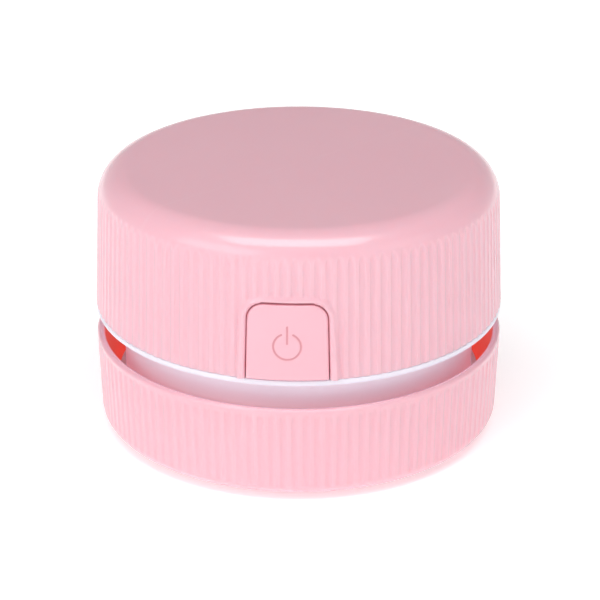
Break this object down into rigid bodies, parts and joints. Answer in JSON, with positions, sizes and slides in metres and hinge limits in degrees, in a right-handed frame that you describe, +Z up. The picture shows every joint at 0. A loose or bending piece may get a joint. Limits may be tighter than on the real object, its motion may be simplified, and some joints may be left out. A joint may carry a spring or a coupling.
{
  "type": "nail dust collector",
  "caption": "Round tabletop nail dust collector: a fluted head with fan, motor and push button screws into a fluted dust cup with a brushed inlet underneath.",
  "frame": {"origin": "on the table under the middle of the feet", "axes": "+Z up, -Y towards the power button at the front"},
  "size_m": [0.0852, 0.0855, 0.0557],
  "materials": {
    "pink_abs": "glossy pale pink ABS with fine upright flutes",
    "button_pink": "glossy pale pink ABS",
    "white_abs": "satin white ABS with a faint lilac cast",
    "black_abs": "matt black ABS",
    "bristle": "white nylon bristle",
    "silicone": "translucent white silicone",
    "foot_rubber": "grey rubber",
    "screw_steel": "zinc-plated steel",
    "filter_cloth": "white filter cloth",
    "motor_steel": "plated deep-drawn steel",
    "bronze": "oiled bronze bush",
    "ferrite": "black ferrite",
    "copper": "enamelled copper and laminations",
    "cell_wrap": "blue heat-shrink sleeve",
    "nickel": "nickel strip",
    "pcb_green": "green solder mask on glass-fibre board",
    "chip_black": "black moulded packages",
    "led_clear": "clear light pipe",
    "lead_pvc": "PVC-insulated lead"
  },
  "bodies": {
    "cup": {"dust_cup": "pink_abs", "thread_collar": "pink_abs", "brush_carrier": "white_abs", "carrier_screws": "screw_steel", "brush_tufts": "bristle", "rubber_feet": "foot_rubber"},
    "seal": {"seal_ring": "silicone"},
    "head": {"top_shell": "pink_abs", "chassis": "white_abs", "fan_drum": "white_abs", "drum_screws": "screw_steel", "shell_screws": "screw_steel", "fan_shroud": "white_abs", "shroud_screws": "screw_steel", "filter_frame": "white_abs", "filter_mesh": "filter_cloth", "motor_can": "motor_steel", "motor_end_cap": "black_abs", "motor_bushes": "bronze", "motor_magnets": "ferrite", "motor_terminals": "nickel", "motor_clamp": "black_abs", "clamp_screws": "screw_steel", "battery_cell": "cell_wrap", "battery_tabs": "nickel", "battery_clips": "black_abs", "charge_board": "pcb_green", "board_screws": "screw_steel", "usb_socket": "nickel", "usb_tongue": "chip_black", "board_chips": "chip_black", "charge_led": "led_clear", "switch_board": "pcb_green", "switch_body": "chip_black", "motor_leads": "lead_pvc", "battery_leads": "lead_pvc", "switch_leads": "lead_pvc"},
    "rotor": {"motor_shaft": "motor_steel", "rotor_core": "copper", "commutator": "copper", "impeller": "white_abs"},
    "button": {"power_button": "button_pink", "switch_plunger": "white_abs"}
  },
  "joints": [
    {"name": "head_lift", "type": "slide", "parent": "cup", "child": "seal", "axis": [0, 0, 1], "range_m": [0, 0.024]},
    {"name": "head_turn", "type": "hinge", "parent": "seal", "child": "head", "pos_m": [0, 0, 0.02], "axis": [0, 0, 1], "range_deg": [0, 288]},
    {"name": "fan_spin", "type": "hinge", "parent": "head", "child": "rotor", "pos_m": [0, 0, 0.03], "axis": [0, 0, 1], "continuous": true},
    {"name": "button_press", "type": "slide", "parent": "head", "child": "button", "axis": [0, 1, 0], "range_m": [0, 0.0012], "stiffness_N_per_m": 600, "springref_m": -0.001}
  ],
  "couplings": [
    {"joint": "head_lift", "follows": "head_turn", "m_per_rad": 0.0047746}
  ]
}
